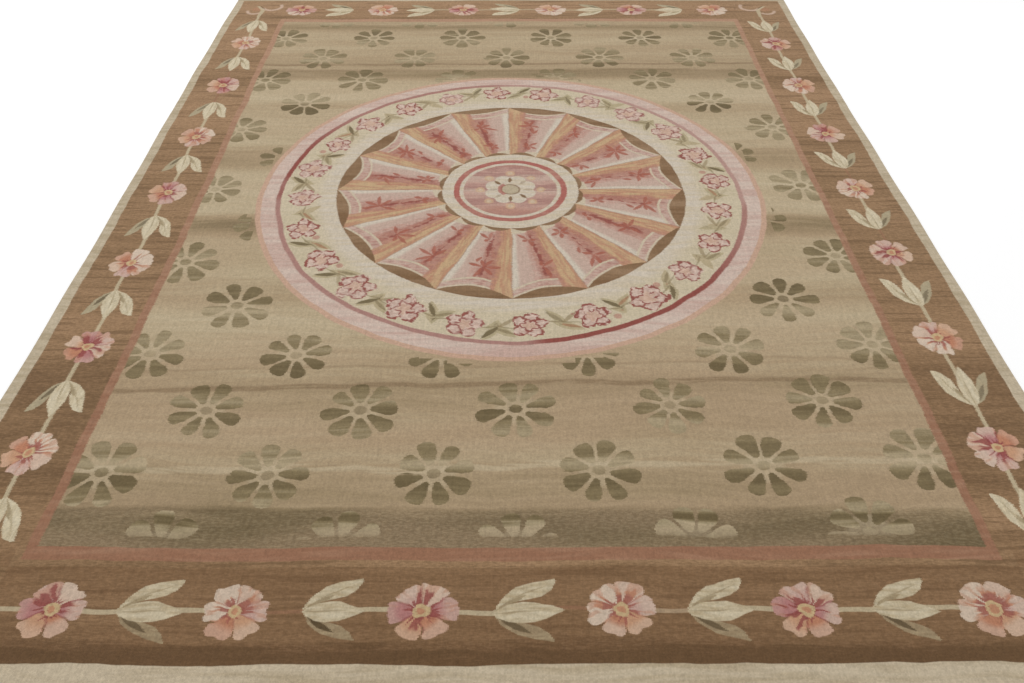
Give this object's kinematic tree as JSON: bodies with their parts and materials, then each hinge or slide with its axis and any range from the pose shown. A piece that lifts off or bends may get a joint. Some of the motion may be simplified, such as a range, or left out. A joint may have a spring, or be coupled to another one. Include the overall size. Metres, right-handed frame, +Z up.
{
  "type": "aubusson rug",
  "caption": "Large flat-woven wool rug lying open: round fan medallion on a field of small daisies, flowered brown border and a plain pale edge band.",
  "frame": {"origin": "middle of the rug's bounding box, on the floor under it", "axes": "+Z up from the floor, +Y along the rug's length away from the viewer, +X across it to the viewer's right"},
  "size_m": [2.7602, 3.6676, 0.004],
  "materials": {
    "woven_wool": "matt tapestry weave"
  },
  "bodies": {
    "root": {"rug": "woven_wool"}
  },
  "joints": []
}
